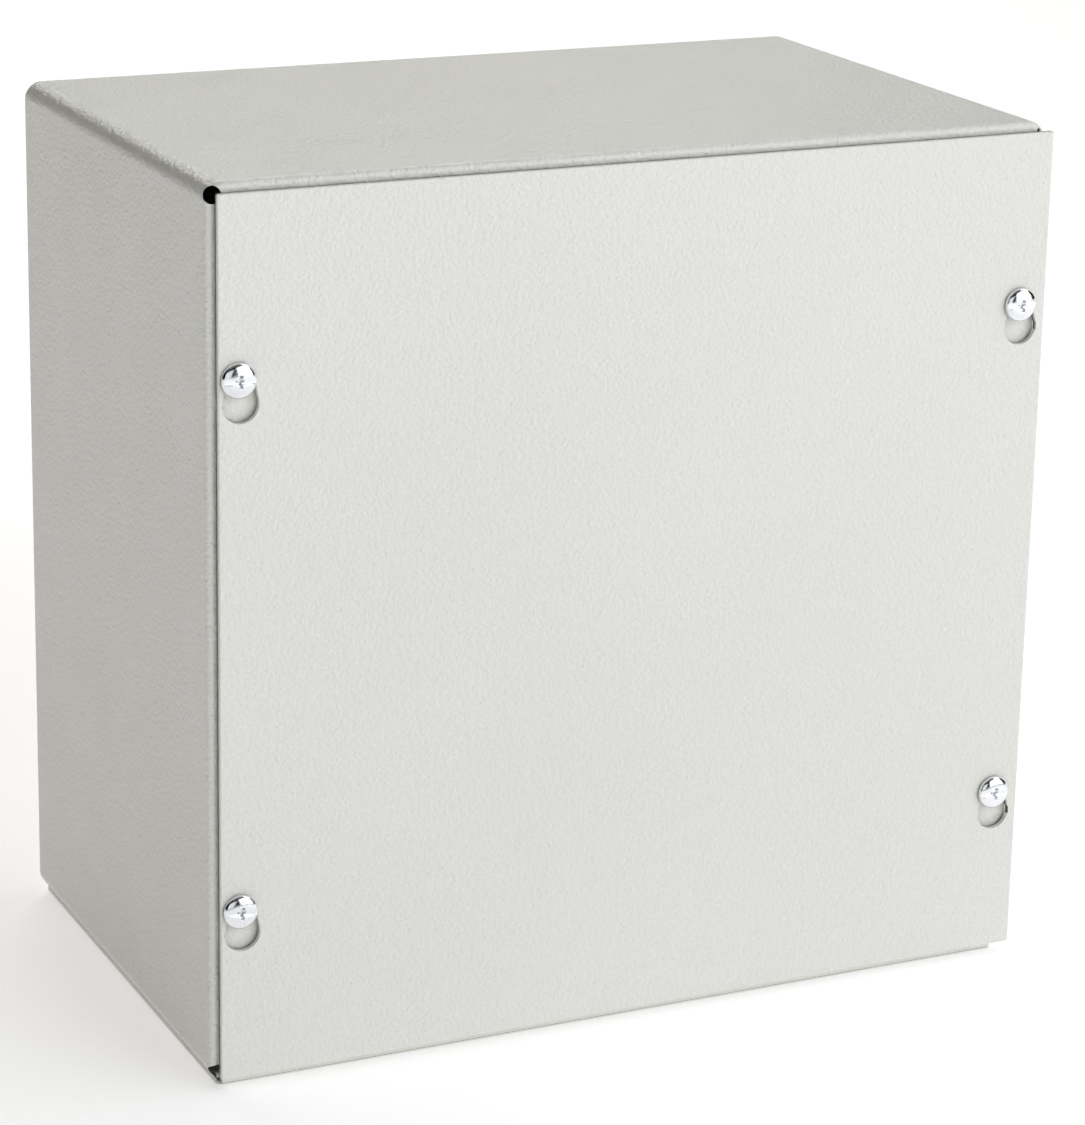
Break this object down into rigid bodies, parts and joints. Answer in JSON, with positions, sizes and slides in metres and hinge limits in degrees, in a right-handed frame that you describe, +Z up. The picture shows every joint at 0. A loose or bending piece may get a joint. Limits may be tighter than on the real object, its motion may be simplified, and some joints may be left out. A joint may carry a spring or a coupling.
{
  "type": "screw cover enclosure",
  "caption": "Square sheet-steel surface-mount electrical enclosure with a flat lift-off cover on teardrop keyholes and pan-head cover screws.",
  "frame": {"origin": "centre of the outer back face, at the middle of the four wall-mounting holes", "axes": "+Z up, +X to the right seen from the front, +Y into the wall, so the cover faces -Y"},
  "size_m": [0.2553, 0.1576, 0.254],
  "materials": {
    "painted_steel": "light grey textured powder coat",
    "bright_zinc": "bright zinc plate",
    "plain_steel": "plain steel, lightly scaled by welding",
    "green_zinc": "green dyed zinc plate"
  },
  "bodies": {
    "body": {"wrapper": "painted_steel", "bottom_panel": "painted_steel", "back_panel": "painted_steel", "weld_nut_upper_left": "plain_steel", "weld_nut_upper_right": "plain_steel", "weld_nut_lower_left": "plain_steel", "weld_nut_lower_right": "plain_steel"},
    "cover": {"cover": "painted_steel"},
    "screw_upper_left": {"cover_screw_upper_left": "bright_zinc"},
    "screw_upper_right": {"cover_screw_upper_right": "bright_zinc"},
    "screw_lower_left": {"cover_screw_lower_left": "bright_zinc"},
    "screw_lower_right": {"cover_screw_lower_right": "bright_zinc"},
    "ground_screw": {"ground_screw": "green_zinc"}
  },
  "joints": [
    {"name": "cover_lift", "type": "slide", "parent": "body", "child": "cover", "axis": [0, 0, 1], "range_m": [0, 0.007]},
    {"name": "screw_upper_left_out", "type": "slide", "parent": "body", "child": "screw_upper_left", "axis": [0, -1, 0], "range_m": [0, 0.014]},
    {"name": "screw_upper_right_out", "type": "slide", "parent": "body", "child": "screw_upper_right", "axis": [0, -1, 0], "range_m": [0, 0.014]},
    {"name": "screw_lower_left_out", "type": "slide", "parent": "body", "child": "screw_lower_left", "axis": [0, -1, 0], "range_m": [0, 0.014]},
    {"name": "screw_lower_right_out", "type": "slide", "parent": "body", "child": "screw_lower_right", "axis": [0, -1, 0], "range_m": [0, 0.014]},
    {"name": "ground_screw_out", "type": "slide", "parent": "body", "child": "ground_screw", "axis": [0, -1, 0], "range_m": [0, 0.005]}
  ]
}
